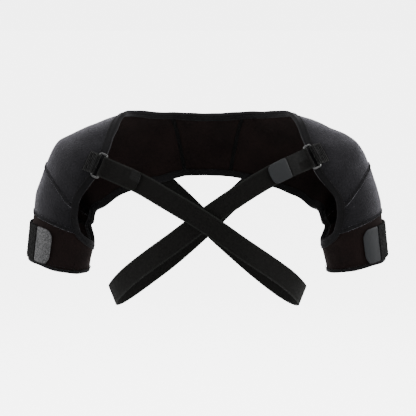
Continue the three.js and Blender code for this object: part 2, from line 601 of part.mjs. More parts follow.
add("yoke_panel", panel(bothSides(YOKE_ROWS)), OUTER_CLOTH);
add("neck_binding", binding("frontEdge"), BINDING_TAPE);
add("lower_binding", binding("backEdge"), BINDING_TAPE);
for (const spec of SIDES) {
  const { name, side } = spec;
  add(`shoulder_panel_${name}`, panel(oneSide(side, SHOULDER_ROWS)), OUTER_CLOTH);
  add(`sleeve_panel_${name}`, panel(oneSide(side, SLEEVE_ROWS)), OUTER_CLOTH);
  add(`cuff_${name}`, cuff(side), CUFF_CLOTH);
  add(`cuff_hem_${name}`, cuffHem(side), CUFF_CLOTH);
  add(`cuff_strip_${name}`, cuffPatch(side, STRIP_TURN, STRIP_THICKNESS), PILE);
  const cuffGrip = cuffPatch(side, GRIP_TURN, GRIP_THICKNESS, GRIP_TURN[0]);
  add(`cuff_grip_${name}`, cuffGrip, side < 0 ? LIGHT_GRIP : GRIP);
  add(`anchor_${name}`, anchor(spec), WEBBING);
  add(`strap_${name}`, strap(spec), WEBBING);
  if (spec.grip) add(`strap_grip_${name}`, strapGrip(spec), GRIP);
  const frame = ringFrame(spec);
  const ring = add(`ring_${name}`, ringGeometry(), RING);
  ring.position.copy(frame.middle);
  const turned = new THREE.Matrix4().makeBasis(frame.forward, frame.across, frame.out);
  ring.quaternion.setFromRotationMatrix(turned);
}

export default brace;
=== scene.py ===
# %% [markdown]
# # A double shoulder brace
# The brace is sewn from 3 mm neoprene: a yoke behind the neck, a shoulder panel and a sleeve panel on each
# side, a cuff round each upper arm, tape round the free edges, and two webbing straps that cross in front
# and behind. The solids in the frame already stand where they belong, but they are faceted and plain.
# Each one could be modelled again from nothing. A copy that is merged, creased and subdivided keeps the
# true size and place and needs less work, so every cloth piece here starts as such a copy, and the seams,
# stitches and pile are then laid on top of it.

# %% Load the frame
import json
import math

import bmesh
import bpy
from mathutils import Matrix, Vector
from mathutils.bvhtree import BVHTree
from mathutils.geometry import intersect_point_line

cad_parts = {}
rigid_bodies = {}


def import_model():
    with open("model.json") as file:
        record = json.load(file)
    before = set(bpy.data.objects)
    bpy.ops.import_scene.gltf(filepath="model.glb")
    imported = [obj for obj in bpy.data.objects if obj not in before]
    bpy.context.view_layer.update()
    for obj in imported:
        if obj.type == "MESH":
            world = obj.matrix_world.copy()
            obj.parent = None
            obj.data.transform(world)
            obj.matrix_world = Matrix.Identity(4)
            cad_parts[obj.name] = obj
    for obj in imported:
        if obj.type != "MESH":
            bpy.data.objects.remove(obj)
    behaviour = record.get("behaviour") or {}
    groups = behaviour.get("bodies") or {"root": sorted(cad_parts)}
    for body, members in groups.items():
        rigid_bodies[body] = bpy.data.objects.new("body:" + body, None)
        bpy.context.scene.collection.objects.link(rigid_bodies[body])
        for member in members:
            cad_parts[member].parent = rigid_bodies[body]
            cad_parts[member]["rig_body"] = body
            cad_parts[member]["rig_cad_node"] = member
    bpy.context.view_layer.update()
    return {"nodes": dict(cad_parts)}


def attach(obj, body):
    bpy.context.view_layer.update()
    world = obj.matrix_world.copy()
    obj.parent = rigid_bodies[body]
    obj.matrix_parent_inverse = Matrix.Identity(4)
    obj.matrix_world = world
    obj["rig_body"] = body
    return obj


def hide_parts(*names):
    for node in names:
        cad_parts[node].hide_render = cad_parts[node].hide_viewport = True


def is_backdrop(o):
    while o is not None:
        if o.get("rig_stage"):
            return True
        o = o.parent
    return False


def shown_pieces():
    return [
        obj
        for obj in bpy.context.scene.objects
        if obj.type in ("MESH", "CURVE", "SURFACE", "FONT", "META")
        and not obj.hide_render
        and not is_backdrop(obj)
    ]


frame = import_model()
SIDES = ("left", "right")
MM = 0.001

# %% [markdown]
# ## Camera, light and floor
# The brace is seen from the front and a little from above, from far away, so the view has little
# perspective. A long lens gives that. The camera is placed first, because every look at the work needs it.

# %% Camera
VIEW_CENTRE = Vector((0.0007, 0, -0.135))
VIEW_DISTANCE = 2.0
VIEW_RISE = math.radians(8)
LENS = 123.6
SENSOR_WIDTH = 36
towards_camera = Vector((0, -math.cos(VIEW_RISE), math.sin(VIEW_RISE)))
bpy.ops.object.camera_add(location=VIEW_CENTRE + VIEW_DISTANCE * towards_camera)
camera = bpy.context.active_object
camera.rotation_euler = (math.pi / 2 - VIEW_RISE, 0, 0)
camera.data.lens = LENS
camera.data.sensor_width = SENSOR_WIDTH
bpy.context.scene.camera = camera
print("camera at", [round(c, 3) for c in camera.location])

# %% [markdown]
# The floor and the room have to look plain white and still shine only softly on the cloth. A white lamp
# behind everything could do that, but it would also light the brace. Here both are bright to the camera
# alone, which a Light Path node tells apart from the light that they give off.

# %% Floor and white room
WHITE_GLOW = 5.0
ROOM_LIGHT = 0.3
FLOOR_SIZE = 120
FLOOR_HEIGHT = -0.85
FLOOR_ROUGHNESS = 0.9
PAPER_WHITE = (0.93, 0.93, 0.93, 1)
PURE_WHITE = (1, 1, 1, 1)


def white_to_camera(tree, otherwise):
    """A strength of WHITE_GLOW for what the camera sees directly, and another one for all other light."""
    path = tree.nodes.new("ShaderNodeLightPath")
    glow = tree.nodes.new("ShaderNodeMapRange")
    glow.inputs["To Min"].default_value = otherwise
    glow.inputs["To Max"].default_value = WHITE_GLOW
    tree.links.new(path.outputs["Is Camera Ray"], glow.inputs["Value"])
    return glow.outputs["Result"]


bpy.ops.mesh.primitive_plane_add(size=FLOOR_SIZE, location=(0, 0, FLOOR_HEIGHT))
floor = bpy.context.active_object
floor.name = "floor"
paper = bpy.data.materials.new("pale_paper")
paper.use_nodes = True
paper_shader = paper.node_tree.nodes["Principled BSDF"]
paper_shader.inputs["Base Color"].default_value = PAPER_WHITE
paper_shader.inputs["Roughness"].default_value = FLOOR_ROUGHNESS
paper_shader.inputs["Emission Color"].default_value = PURE_WHITE
paper.node_tree.links.new(white_to_camera(paper.node_tree, 0), paper_shader.inputs["Emission Strength"])
floor.data.materials.append(paper)
floor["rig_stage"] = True

world = bpy.data.worlds.new("white_room")
bpy.context.scene.world = world
world.use_nodes = True
room = world.node_tree.nodes["Background"]
room.inputs["Color"].default_value = PURE_WHITE
world.node_tree.links.new(white_to_camera(world.node_tree, ROOM_LIGHT), room.inputs["Strength"])
print("floor at", FLOOR_HEIGHT, "room light", ROOM_LIGHT)

# %% [markdown]
# The cloth is almost black, so its form is read from the soft shine at its edges. Wide lamps on every side
# bring that out. Small lamps would make hard bright spots, which this cloth doesn't show.

# %% Lamps
def lamp(name, place, size, power):
    """A square soft lamp that faces the middle of the brace."""
    bpy.ops.object.light_add(type="AREA", location=place)
    soft = bpy.context.active_object
    soft.name = name
    soft.data.size = size
    soft.data.energy = power
    soft.rotation_euler = (VIEW_CENTRE - Vector(place)).to_track_quat("-Z", "Y").to_euler()


lamp("lamp_above", place=(0, -0.2, 1.9), size=1.6, power=30)
lamp("lamp_left", place=(-1.9, -0.2, 0.6), size=1.4, power=44)
lamp("lamp_right", place=(1.9, -0.2, 0.6), size=1.4, power=44)
lamp("lamp_front", place=(0.7, -2.2, 0.8), size=1.4, power=17)
lamp("lamp_behind", place=(0, 2.2, 0.9), size=1.4, power=26)

# %% [markdown]
# ## Patterns
# Several finishes share the same small patterns. Each pattern is a node group, so that it is built once
# and each material only says how large and how strong it is. A group hands out masks and heights only,
# and the shader stays in the material.

# %% Helpers for node groups
def pattern(name, inputs, outputs):
    """An empty node group with number inputs: its tree, its input node and its output node."""
    tree = bpy.data.node_groups.new(name, "ShaderNodeTree")
    tree.interface.new_socket(name="Place", in_out="INPUT", socket_type="NodeSocketVector")
    for label, value in inputs.items():
        socket = tree.interface.new_socket(name=label, in_out="INPUT", socket_type="NodeSocketFloat")
        socket.default_value = value
    for label in outputs:
        tree.interface.new_socket(name=label, in_out="OUTPUT", socket_type="NodeSocketFloat")
    return tree, tree.nodes.new("NodeGroupInput"), tree.nodes.new("NodeGroupOutput")


def fill(tree, socket, value):
    """Gives an input a number, or links it to another node's socket."""
    if isinstance(value, (int, float)):
        socket.default_value = value
    else:
        tree.links.new(value, socket)


def math_node(tree, operation, *values):
    """A Math node whose inputs are numbers or other nodes' sockets."""
    node = tree.nodes.new("ShaderNodeMath")
    node.operation = operation
    for socket, value in zip(node.inputs, values):
        fill(tree, socket, value)
    return node.outputs[0]


def noise_node(tree, place, scale, detail, roughness=0.5):
    """The Fac of a Noise texture of that many waves per metre."""
    node = tree.nodes.new("ShaderNodeTexNoise")
    tree.links.new(place, node.inputs["Vector"])
    fill(tree, node.inputs["Scale"], scale)
    node.inputs["Detail"].default_value = detail
    node.inputs["Roughness"].default_value = roughness
    return node.outputs["Fac"]


print("node groups so far:", len(bpy.data.node_groups))

# %% [markdown]
# Knitted nylon has rows of tiny loops, and its yarn takes the dye unevenly, so from a distance it is
# flecked. Small cells give the loops, and two sizes of noise give the flecks and the slow change of tone.

# %% Pattern: knitted face
FLECK_SHARE = 0.6
SLOW_SHARE = 0.4
SLOW_WAVES = 26
LOOP_DEPTH = -0.6
knit, knit_in, knit_out = pattern("knitted_face", {"Loops": 900, "Flecks": 420}, ["Tone", "Height"])
cells = knit.nodes.new("ShaderNodeTexVoronoi")
knit.links.new(knit_in.outputs["Place"], cells.inputs["Vector"])
knit.links.new(knit_in.outputs["Loops"], cells.inputs["Scale"])
flecks = noise_node(knit, knit_in.outputs["Place"], knit_in.outputs["Flecks"], detail=3, roughness=0.7)
slow = noise_node(knit, knit_in.outputs["Place"], SLOW_WAVES, detail=2)
fleck_tone = math_node(knit, "MULTIPLY", flecks, FLECK_SHARE)
knit.links.new(math_node(knit, "MULTIPLY_ADD", slow, SLOW_SHARE, fleck_tone), knit_out.inputs["Tone"])
loop_height = math_node(knit, "MULTIPLY", cells.outputs["Distance"], LOOP_DEPTH)
knit.links.new(math_node(knit, "ADD", loop_height, flecks), knit_out.inputs["Height"])
print("knitted_face:", len(knit.nodes), "nodes")

# %% [markdown]
# Hook and loop pile is a mat of fine curls. It looks rough and speckled: light catches single curls and
# the gaps between them stay black. A noise raised to a power keeps only its peaks, as the curls do.

# %% Pattern: pile
CURL_SHARPNESS = 3.0
CURL_BRIGHTNESS = 4.0
pile, pile_in, pile_out = pattern("curled_pile", {"Curls": 700}, ["Speckle", "Height"])
curls = noise_node(pile, pile_in.outputs["Place"], pile_in.outputs["Curls"], detail=4, roughness=0.8)
peaks = math_node(pile, "POWER", curls, CURL_SHARPNESS)
pile.links.new(math_node(pile, "MULTIPLY", peaks, CURL_BRIGHTNESS), pile_out.inputs["Speckle"])
pile.links.new(curls, pile_out.inputs["Height"])
print("curled_pile:", len(pile.nodes), "nodes")

# %% [markdown]
# Webbing is woven in ribs across its length, and its two edges are bound tighter, which shows as a paler
# line. Both follow the strap round its bends, so this pattern reads the strap's own map, in which one unit
# is one metre along and across. The map goes once round the webbing, so the place across is taken modulo
# one width and one thickness.

# %% Pattern: webbing
YARN_PITCH = 0.0011
YARN_SHARE = 0.4
EDGE_START = 0.43
STREAK_SHAPE = (1, 6, 1)
STREAK_WAVES = 160
weave, weave_in, weave_out = pattern(
    "woven_ribs", {"Rib": 0.0016, "Width": 0.028, "Thickness": 0.0016}, ["Rib_height", "Edge", "Tone"]
)
width = weave_in.outputs["Width"]
parts = weave.nodes.new("ShaderNodeSeparateXYZ")
weave.links.new(weave_in.outputs["Place"], parts.inputs[0])
along, across = parts.outputs["X"], parts.outputs["Y"]
turns = math_node(weave, "MULTIPLY", math_node(weave, "DIVIDE", along, weave_in.outputs["Rib"]), 2 * math.pi)
ribs = math_node(weave, "SINE", turns)
yarns = math_node(weave, "SINE", math_node(weave, "MULTIPLY", across, 2 * math.pi / YARN_PITCH))
weave.links.new(math_node(weave, "MULTIPLY_ADD", yarns, YARN_SHARE, ribs), weave_out.inputs["Rib_height"])
period = math_node(weave, "ADD", width, weave_in.outputs["Thickness"])
over = math_node(weave, "FLOORED_MODULO", across, period)
half_width = math_node(weave, "MULTIPLY", width, 0.5)
from_middle = math_node(weave, "ABSOLUTE", math_node(weave, "SUBTRACT", over, half_width))
edge_line = math_node(weave, "MULTIPLY", width, EDGE_START)
weave.links.new(math_node(weave, "GREATER_THAN", from_middle, edge_line), weave_out.inputs["Edge"])
stretched = weave.nodes.new("ShaderNodeVectorMath")
stretched.operation = "MULTIPLY"
stretched.inputs[1].default_value = STREAK_SHAPE
weave.links.new(weave_in.outputs["Place"], stretched.inputs[0])
weave.links.new(noise_node(weave, stretched.outputs[0], STREAK_WAVES, detail=3), weave_out.inputs["Tone"])
print("woven_ribs:", len(weave.nodes), "nodes")

# %% [markdown]
# A brace in use picks up lint and pale dust. Sparse specks, cut from the peaks of a fine noise, are enough.

# %% Pattern: lint
LINT_WAVES = 330
lint, lint_in, lint_out = pattern("lint", {"Least": 0.7}, ["Specks"])
dots = noise_node(lint, lint_in.outputs["Place"], LINT_WAVES, detail=1)
lint.links.new(math_node(lint, "GREATER_THAN", dots, lint_in.outputs["Least"]), lint_out.inputs["Specks"])
print("lint:", len(lint.nodes), "nodes")

# %% [markdown]
# ## Finishes
# Every finish mixes a dark and a paler colour by its pattern's tone, and bumps the surface by the
# pattern's height. Cloth also gets a sheen: its fuzz scatters light most where it is seen edge on, which
# is why the shoulders look paler along their outline.

# %% Helpers for shaders
# A Mix node holds its colour sockets after those for numbers and vectors.
MIX_FIRST, MIX_SECOND, MIX_RESULT = 6, 7, 2


def shader_of(material):
    """The shader of a material."""
    return material.node_tree.nodes["Principled BSDF"]


def mixed(tree, mask, first, second):
    """The first colour, from a socket, with the second one where the mask is 1."""
    mix = tree.nodes.new("ShaderNodeMix")
    mix.data_type = "RGBA"
    tree.links.new(mask, mix.inputs["Factor"])
    tree.links.new(first, mix.inputs[MIX_FIRST])
    mix.inputs[MIX_SECOND].default_value = (*second, 1)
    return mix.outputs[MIX_RESULT]


def sheen(material, weight, rough, tint):
    """Gives a cloth the soft shine of its fuzz."""
    shader = shader_of(material)
    shader.inputs["Sheen Weight"].default_value = weight
    shader.inputs["Sheen Roughness"].default_value = rough
    shader.inputs["Sheen Tint"].default_value = (*tint, 1)


print("colour sockets of a Mix node:", MIX_FIRST, MIX_SECOND, "and", MIX_RESULT)

# %% A helper that makes a finish
# Each face is a pattern, its tone, its height and the map that it reads.
KNIT_FACE = (knit, "Tone", "Height", "Object")
PILE_FACE = (pile, "Speckle", "Height", "Object")
WOVEN_FACE = (weave, "Tone", "Rib_height", "UV")
DARK_END, PALE_END = 0.3, 0.72
CLOTH_SHINE = 0.1
LINT_GAIN, LINT_LEAST = 3.2, 0.02


def finish(name, face, dark, pale, values=None, rough=0.85, bump=0.3, depth=0.4, specks=None):
    """A material that mixes dark and pale by one pattern and bumps the surface by its height, depth in mm."""
    pattern_tree, tone, height, reads = face
    made = bpy.data.materials.new(name)
    made.use_nodes = True
    tree, shader = made.node_tree, shader_of(made)
    shader.inputs["Roughness"].default_value = rough
    shader.inputs["Specular IOR Level"].default_value = CLOTH_SHINE
    place = tree.nodes.new("ShaderNodeTexCoord")
    used = tree.nodes.new("ShaderNodeGroup")
    used.node_tree = pattern_tree
    for label, value in (values or {}).items():
        used.inputs[label].default_value = value
    tree.links.new(place.outputs[reads], used.inputs["Place"])
    ramp = tree.nodes.new("ShaderNodeValToRGB")
    for element, position, shade in zip(ramp.color_ramp.elements, (DARK_END, PALE_END), (dark, pale)):
        element.position = position
        element.color = (*shade, 1)
    tree.links.new(used.outputs[tone], ramp.inputs["Fac"])
    colour = ramp.outputs["Color"]
    if specks:
        dust = tree.nodes.new("ShaderNodeGroup")
        dust.node_tree = lint
        dust.inputs["Least"].default_value = specks
        tree.links.new(place.outputs["Object"], dust.inputs["Place"])
        dust_colour = [min(1, LINT_GAIN * c + LINT_LEAST) for c in pale]
        colour = mixed(tree, dust.outputs["Specks"], colour, dust_colour)
    tree.links.new(colour, shader.inputs["Base Color"])
    raised = tree.nodes.new("ShaderNodeBump")
    raised.inputs["Strength"].default_value = bump
    raised.inputs["Distance"].default_value = depth * MM
    tree.links.new(used.outputs[height], raised.inputs["Height"])
    tree.links.new(raised.outputs["Normal"], shader.inputs["Normal"])
    return made


print("faces:", [face[0].name for face in (KNIT_FACE, PILE_FACE, WOVEN_FACE)])

# %% [markdown]
# The neoprene is faced with charcoal nylon outside, which has the strongest sheen, and with a matt loop
# cloth inside and on the cuffs. The tapes are a finer knit. All of these use the knitted face, and only the
# number of loops, the colours and the depth of the bump differ. The thread is too thin for loops, so it
# gets the speckle of a very fine pile.

# %% The cloth finishes
FINE_KNIT = {"Loops": 1500, "Flecks": 900}
outer_cloth = finish(
    "charcoal_knit", KNIT_FACE, (0.0008, 0.0008, 0.001), (0.014, 0.0135, 0.0158),
    bump=0.75, depth=0.9, specks=0.83
)
sheen(outer_cloth, weight=0.5, rough=0.4, tint=(0.76, 0.74, 0.82))
cuff_cloth = finish(
    "black_loop_cloth", KNIT_FACE, (0.0016, 0.0008, 0.0007), (0.0105, 0.0052, 0.0046),
    values={"Loops": 1300, "Flecks": 700}
)
sheen(cuff_cloth, weight=0.07, rough=0.4, tint=(0.85, 0.68, 0.66))
inner_tape = finish(
    "black_seam_tape", KNIT_FACE, (0.0004, 0.0003, 0.0003), (0.002, 0.0016, 0.0016), values=FINE_KNIT
)
binding_tape = finish(
    "edge_tape", KNIT_FACE, (0.001, 0.001, 0.0011), (0.009, 0.0086, 0.0094), values=FINE_KNIT, depth=0.3
)
sheen(binding_tape, weight=0.15, rough=0.4, tint=(0.76, 0.75, 0.8))
thread = finish(
    "black_thread", PILE_FACE, (0.003, 0.003, 0.003), (0.02, 0.02, 0.02), values={"Curls": 1600}, bump=0.5
)
print("cloth finishes:", [m.name for m in (outer_cloth, cuff_cloth, inner_tape, binding_tape, thread)])

# %% [markdown]
# The trim is black pile, grey plush, a smooth blue-grey tab, three kinds of webbing and moulded plastic.
# The plastic is the only glossy one. Its knit pattern is so coarse and flat that it only stirs the gloss.

# %% The trim finishes
dark_pile = finish(
    "dark_pile", PILE_FACE, (0.0003, 0.0003, 0.0003), (0.017, 0.017, 0.017), bump=1.0, depth=1.4
)
sheen(dark_pile, weight=0.02, rough=0.5, tint=(0.8, 0.8, 0.82))
grey_plush = finish(
    "grey_plush", PILE_FACE, (0.03, 0.03, 0.031), (0.105, 0.105, 0.107),
    values={"Curls": 500}, bump=0.4, depth=0.8
)
sheen(grey_plush, weight=0.2, rough=0.5, tint=(0.9, 0.9, 0.92))
grip_cloth = finish(
    "smooth_grip", KNIT_FACE, (0.0052, 0.0063, 0.0077), (0.0092, 0.0108, 0.013),
    values={"Loops": 2200, "Flecks": 300}, rough=0.5, bump=0.15, depth=0.2
)
shader_of(grip_cloth).inputs["Specular IOR Level"].default_value = 0.35
fold_webbing = finish(
    "brushed_webbing", WOVEN_FACE, (0.0045, 0.0045, 0.0044), (0.0125, 0.0125, 0.012), depth=0.3
)
sheen(fold_webbing, weight=0.12, rough=0.4, tint=(0.8, 0.8, 0.8))
webbing = finish(
    "strap_webbing", WOVEN_FACE, (0.0018, 0.0016, 0.0015), (0.0058, 0.0055, 0.0048),
    rough=0.8, bump=0.35, depth=0.3
)
sheen(webbing, weight=0.06, rough=0.35, tint=(0.78, 0.8, 0.76))
anchor_webbing = finish(
    "anchor_webbing", WOVEN_FACE, (0.0012, 0.0012, 0.0012), (0.009, 0.009, 0.0087),
    values={"Rib": 0.0026, "Width": 0.028, "Thickness": 0.0012}, rough=0.75, bump=0.9, depth=0.9
)
sheen(anchor_webbing, weight=0.06, rough=0.35, tint=(0.85, 0.85, 0.85))
ring_plastic = finish(
    "ring_plastic", KNIT_FACE, (0.003, 0.003, 0.003), (0.006, 0.006, 0.006),
    values={"Loops": 120, "Flecks": 220}, rough=0.28, bump=0.05, depth=0.2
)
shader_of(ring_plastic).inputs["Specular IOR Level"].default_value = 1.0
print("finishes in all:", len(bpy.data.materials))

# %% [markdown]
# The bound edges of the straps and anchors are paler. The webbing's pattern already gives a mask of them,
# so a paler colour is mixed in by that mask, after the rest of the finish.

# %% Paler edges of the webbing
def paler_edges(material, colour):
    """Mixes a paler colour into the bound edges of a webbing."""
    tree, base = material.node_tree, shader_of(material).inputs["Base Color"]
    used = next(n for n in tree.nodes if n.type == "GROUP" and n.node_tree == weave)
    tree.links.new(mixed(tree, used.outputs["Edge"], base.links[0].from_socket, colour), base)
    print("paler edges on", material.name)


paler_edges(webbing, (0.009, 0.0095, 0.0085))
paler_edges(anchor_webbing, (0.014, 0.014, 0.0135))

# %% [markdown]
# ## Cloth pieces
# A CAD node is loose triangles. Its copy is merged, its triangles are joined to squares, the rims are
# creased so that they stay crisp, and a subdivision rounds the rest. The frame's own tags are taken off the
# copy, so that it isn't mistaken for the node.

# %% Copy a node
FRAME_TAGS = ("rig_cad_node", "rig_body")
MERGE_DISTANCE = 0.01 * MM
SQUARE_ANGLE = math.radians(60)
ANY_SHAPE = math.radians(180)


def only(*chosen):
    """Selects these objects and nothing else; the last one is active."""
    bpy.ops.object.select_all(action="DESELECT")
    for each in chosen:
        each.select_set(True)
    bpy.context.view_layer.objects.active = chosen[-1]


def copy_of(node, name):
    """A merged copy of a CAD node, in squares where it has them."""
    only(frame["nodes"][node])
    bpy.ops.object.duplicate()
    piece = bpy.context.active_object
    piece.name = piece.data.name = name
    for key in FRAME_TAGS:
        if key in piece:
            del piece[key]
    piece.data.materials.clear()
    bpy.ops.mesh.customdata_custom_splitnormals_clear()
    bpy.ops.object.mode_set(mode="EDIT")
    bpy.ops.mesh.select_all(action="SELECT")
    bpy.ops.mesh.remove_doubles(threshold=MERGE_DISTANCE)
    bpy.ops.mesh.tris_convert_to_quads(face_threshold=SQUARE_ANGLE, shape_threshold=ANY_SHAPE)
    bpy.ops.object.mode_set(mode="OBJECT")
    return piece


print("points closer than", MERGE_DISTANCE, "m are merged")

# %% Round and dress a copy
SHARP_ANGLE = math.radians(50)


def with_modifier(piece, kind, **settings):
    """Adds a modifier with these settings and applies it."""
    only(piece)
    bpy.ops.object.modifier_add(type=kind)
    added = piece.modifiers[-1]
    for key, value in settings.items():
        setattr(added, key, value)
    bpy.ops.object.modifier_apply(modifier=added.name)
    return piece


def soften(piece, levels, crease):
    """Rounds a copy by subdivision and keeps the rims, where it turns sharply, by a crease."""
    only(piece)
    bpy.ops.object.mode_set(mode="EDIT")
    bpy.ops.mesh.select_mode(type="EDGE")
    bpy.ops.mesh.select_all(action="DESELECT")
    bpy.ops.mesh.edges_select_sharp(sharpness=SHARP_ANGLE)
    bpy.ops.transform.edge_crease(value=crease)
    bpy.ops.object.mode_set(mode="OBJECT")
    with_modifier(piece, "SUBSURF", levels=levels, render_levels=levels)
    bpy.ops.object.shade_smooth()
    return piece


def dress(piece, material, slot, *nodes):
    """Gives a piece its finish and its body, and hides the nodes that it stands for."""
    piece.data.materials.clear()
    piece.data.materials.append(material)
    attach(piece, "root")
    if nodes:
        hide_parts(*nodes)
    return piece


print("rims are edges that turn by more than", round(math.degrees(SHARP_ANGLE)), "degrees")

# %% [markdown]
# Worn neoprene has soft dents. They could be sculpted piece by piece, but then two panels would part at
# their seam. One soft noise moves every cloth piece instead, both faces alike, so the walls keep their
# thickness and neighbours stay together.

# %% Soft dents
DENT_SIZE = 45 * MM
DENT_DEPTH = 5 * MM
MIDDLE_TONE = 0.5
folds = bpy.data.textures.new("soft_dents", "CLOUDS")
folds.cloud_type = "COLOR"
folds.noise_scale = DENT_SIZE
folds.noise_depth = 1


def dent(piece):
    """Moves the whole thickness of the cloth by one soft noise, a different way at each place."""
    return with_modifier(
        piece, "DISPLACE", texture=folds, texture_coords="LOCAL", direction="RGB_TO_XYZ",
        mid_level=MIDDLE_TONE, strength=DENT_DEPTH
    )


print("dents of", folds.noise_scale, "m")

# %% [markdown]
# The neoprene is faced with charcoal knit outside and with black loop cloth inside. The inside of a panel
# is the side that looks to a line through the shoulders and down the sleeves, so the faces that look
# towards the nearest point of that line get the inner finish.

# %% Which faces look inwards
SLEEVE_LINE = [
    Vector(place) * MM
    for place in ((0, 0, -85), (101, 0, -90), (175, 0, -93), (190, 0, -106), (200, 0, -137), (209, 0, -200))
]


def nearest_on_sleeve_line(place):
    """The point of the line through the shoulders and sleeves that is nearest to a place."""
    mirrored = Vector((abs(place.x), place.y, place.z))
    found = []
    for start, end in zip(SLEEVE_LINE, SLEEVE_LINE[1:]):
        share = intersect_point_line(mirrored, start, end)[1]
        found.append(start.lerp(end, min(1, max(0, share))))
    best = min(found, key=lambda p: (p - mirrored).length)
    return Vector((math.copysign(best.x, place.x), 0, best.z))


def line_inside(piece, material):
    """Gives the inner faces of a panel another material."""
    piece.data.materials.append(material)
    for face in piece.data.polygons:
        if face.normal.dot(face.center - nearest_on_sleeve_line(face.center)) < 0:
            face.material_index = 1
    return piece


print("sleeve line:", len(SLEEVE_LINE), "points on each side")

# %% [markdown]
# The five outer panels and the two cuffs differ only in their cloth, so one loop makes them all. The mesh
# of each copy is kept as it was before the subdivision, because its straight rims show later where the
# seams are.

# %% The five outer panels and the two cuffs
panels = {}
coarse = {}
for node, material, slot in [
    ("yoke_panel", outer_cloth, "outer_cloth"),
    *[(f"shoulder_panel_{side}", outer_cloth, "outer_cloth") for side in SIDES],
    *[(f"sleeve_panel_{side}", outer_cloth, "outer_cloth") for side in SIDES],
    *[(f"cuff_{side}", cuff_cloth, "cuff_cloth") for side in SIDES],
]:
    piece = copy_of(node, "cloth_" + node)
    coarse[node] = piece.data.copy()
    dress(dent(soften(piece, levels=2, crease=0.75)), material, slot, node)
    panels[node] = line_inside(piece, cuff_cloth)
    print(node, len(piece.data.polygons), "faces")

# %% [markdown]
# The tapes are folded round the free edges. They are thin and soft, so their creases are weaker.

# %% The tapes
TAPES = ("neck_binding", "lower_binding", "cuff_hem_left", "cuff_hem_right")
for node in TAPES:
    piece = dent(soften(copy_of(node, "tape_" + node), levels=2, crease=0.6))
    panels[node] = dress(piece, binding_tape, "binding_tape", node)
    print(node, len(piece.data.polygons), "faces")

# %% [markdown]
# ## Seams
# The panels are sewn edge to edge with a flat seam: a raised band of thread about 6 mm wide on both faces.
# The band has to follow the cloth, so its line is read from the panels' own rims and each point of the
# band is set on the cloth nearest to it. A rim is found from the wall's own narrow faces: the edges that
# are as long as the cloth is thick go across the wall, and the others go along it.

# %% Find the rims of a panel
CLOTH_THICKNESS = 3 * MM
THICKNESS_SLACK = 0.12 * CLOTH_THICKNESS
SHORTEST_RIM = 4


def crosses_wall(edge):
    """Whether an edge goes across the thickness of the cloth."""
    return abs(edge.calc_length() - CLOTH_THICKNESS) < THICKNESS_SLACK


def rims(mesh, chosen):
    """The long edges beside the chosen wall faces, as chains of (place, face normal)."""
    work = bmesh.new()
    work.from_mesh(mesh)
    walls = {f for f in work.faces if chosen(f)}
    links = {}
    for edge in work.edges:
        if len(edge.link_faces) != 2 or crosses_wall(edge):
            continue
        inside = [f for f in edge.link_faces if f in walls]
        if len(inside) == 1:
            face = next(f for f in edge.link_faces if f not in walls)
            for one, other in (edge.verts, reversed(edge.verts)):
                links.setdefault(one, []).append((other, face.normal.copy()))
    chains, used = [], set()
    starts = [v for v in links if len(links[v]) == 1] + list(links)
    for start in starts:
        if start in used:
            continue
        chain, at = [(start.co.copy(), links[start][0][1])], start
        used.add(start)
        while True:
            ahead = [(v, n) for v, n in links[at] if v not in used]
            if not ahead:
                break
            at, normal = ahead[0]
            used.add(at)
            chain.append((at.co.copy(), normal))
        if len(chain) >= SHORTEST_RIM:
            chains.append(chain)
    work.free()
    return chains


print("cloth thickness:", CLOTH_THICKNESS, "m")

# %% [markdown]
# A seam lies halfway between the rims of its two panels. A wall face whose corners all lie close to the
# other panel is a sewn one. Its rims are told apart by their normals: the outer one looks away from the
# middle.

# %% The lines of the seams
SEWN_WITHIN = 1.7 * MM


def tree_of(*pieces):
    """One search tree over the faces of these objects or meshes."""
    places, faces = [], []
    for each in pieces:
        mesh = getattr(each, "data", each)
        first = len(places)
        places += [v.co.copy() for v in mesh.vertices]
        faces += [[first + i for i in p.vertices] for p in mesh.polygons]
    return BVHTree.FromPolygons(places, faces)


def seam_lines(first, second):
    """The outer and the inner line of the seam between two panels."""
    other = tree_of(coarse[second])

    def is_sewn_wall(face):
        return all(other.find_nearest(v.co)[3] < SEWN_WITHIN for v in face.verts)

    lines = {}
    for chain in rims(coarse[first], is_sewn_wall):
        middle = sum((p for p, _ in chain), Vector()) / len(chain)
        middle.y = 0
        outward = sum((p - middle).dot(n) for p, n in chain)
        placed = [((p + other.find_nearest(p)[0]) / 2, n) for p, n in chain]
        lines.setdefault("outer" if outward > 0 else "inner", placed)
    return lines


seams = {}
for side in SIDES:
    seams[f"yoke_seam_{side}"] = seam_lines("yoke_panel", f"shoulder_panel_{side}")
    seams[f"sleeve_seam_{side}"] = seam_lines(f"sleeve_panel_{side}", f"shoulder_panel_{side}")
    seams[f"cuff_seam_{side}"] = seam_lines(f"sleeve_panel_{side}", f"cuff_{side}")
print({name: {face: len(line) for face, line in lines.items()} for name, lines in seams.items()})

# %% [markdown]
# A rim is a chain of straight pieces, and a band on it would show its corners. Smooth curves through the
# same points, cut at even steps, give a line that a machine could have sewn.

# %% Even steps along a line
CURVE_STEPS = 12
SMOOTHINGS = 6
SHORTEST_STEP = 1e-9


def curve_point(before, start, end, after, t):
    """A point of the smooth curve from start to end that passes its neighbours in the same direction."""
    return 0.5 * (
        2 * start + (end - before) * t
        + (2 * before - 5 * start + 4 * end - after) * t**2
        + (3 * start - before - 3 * end + after) * t**3
    )


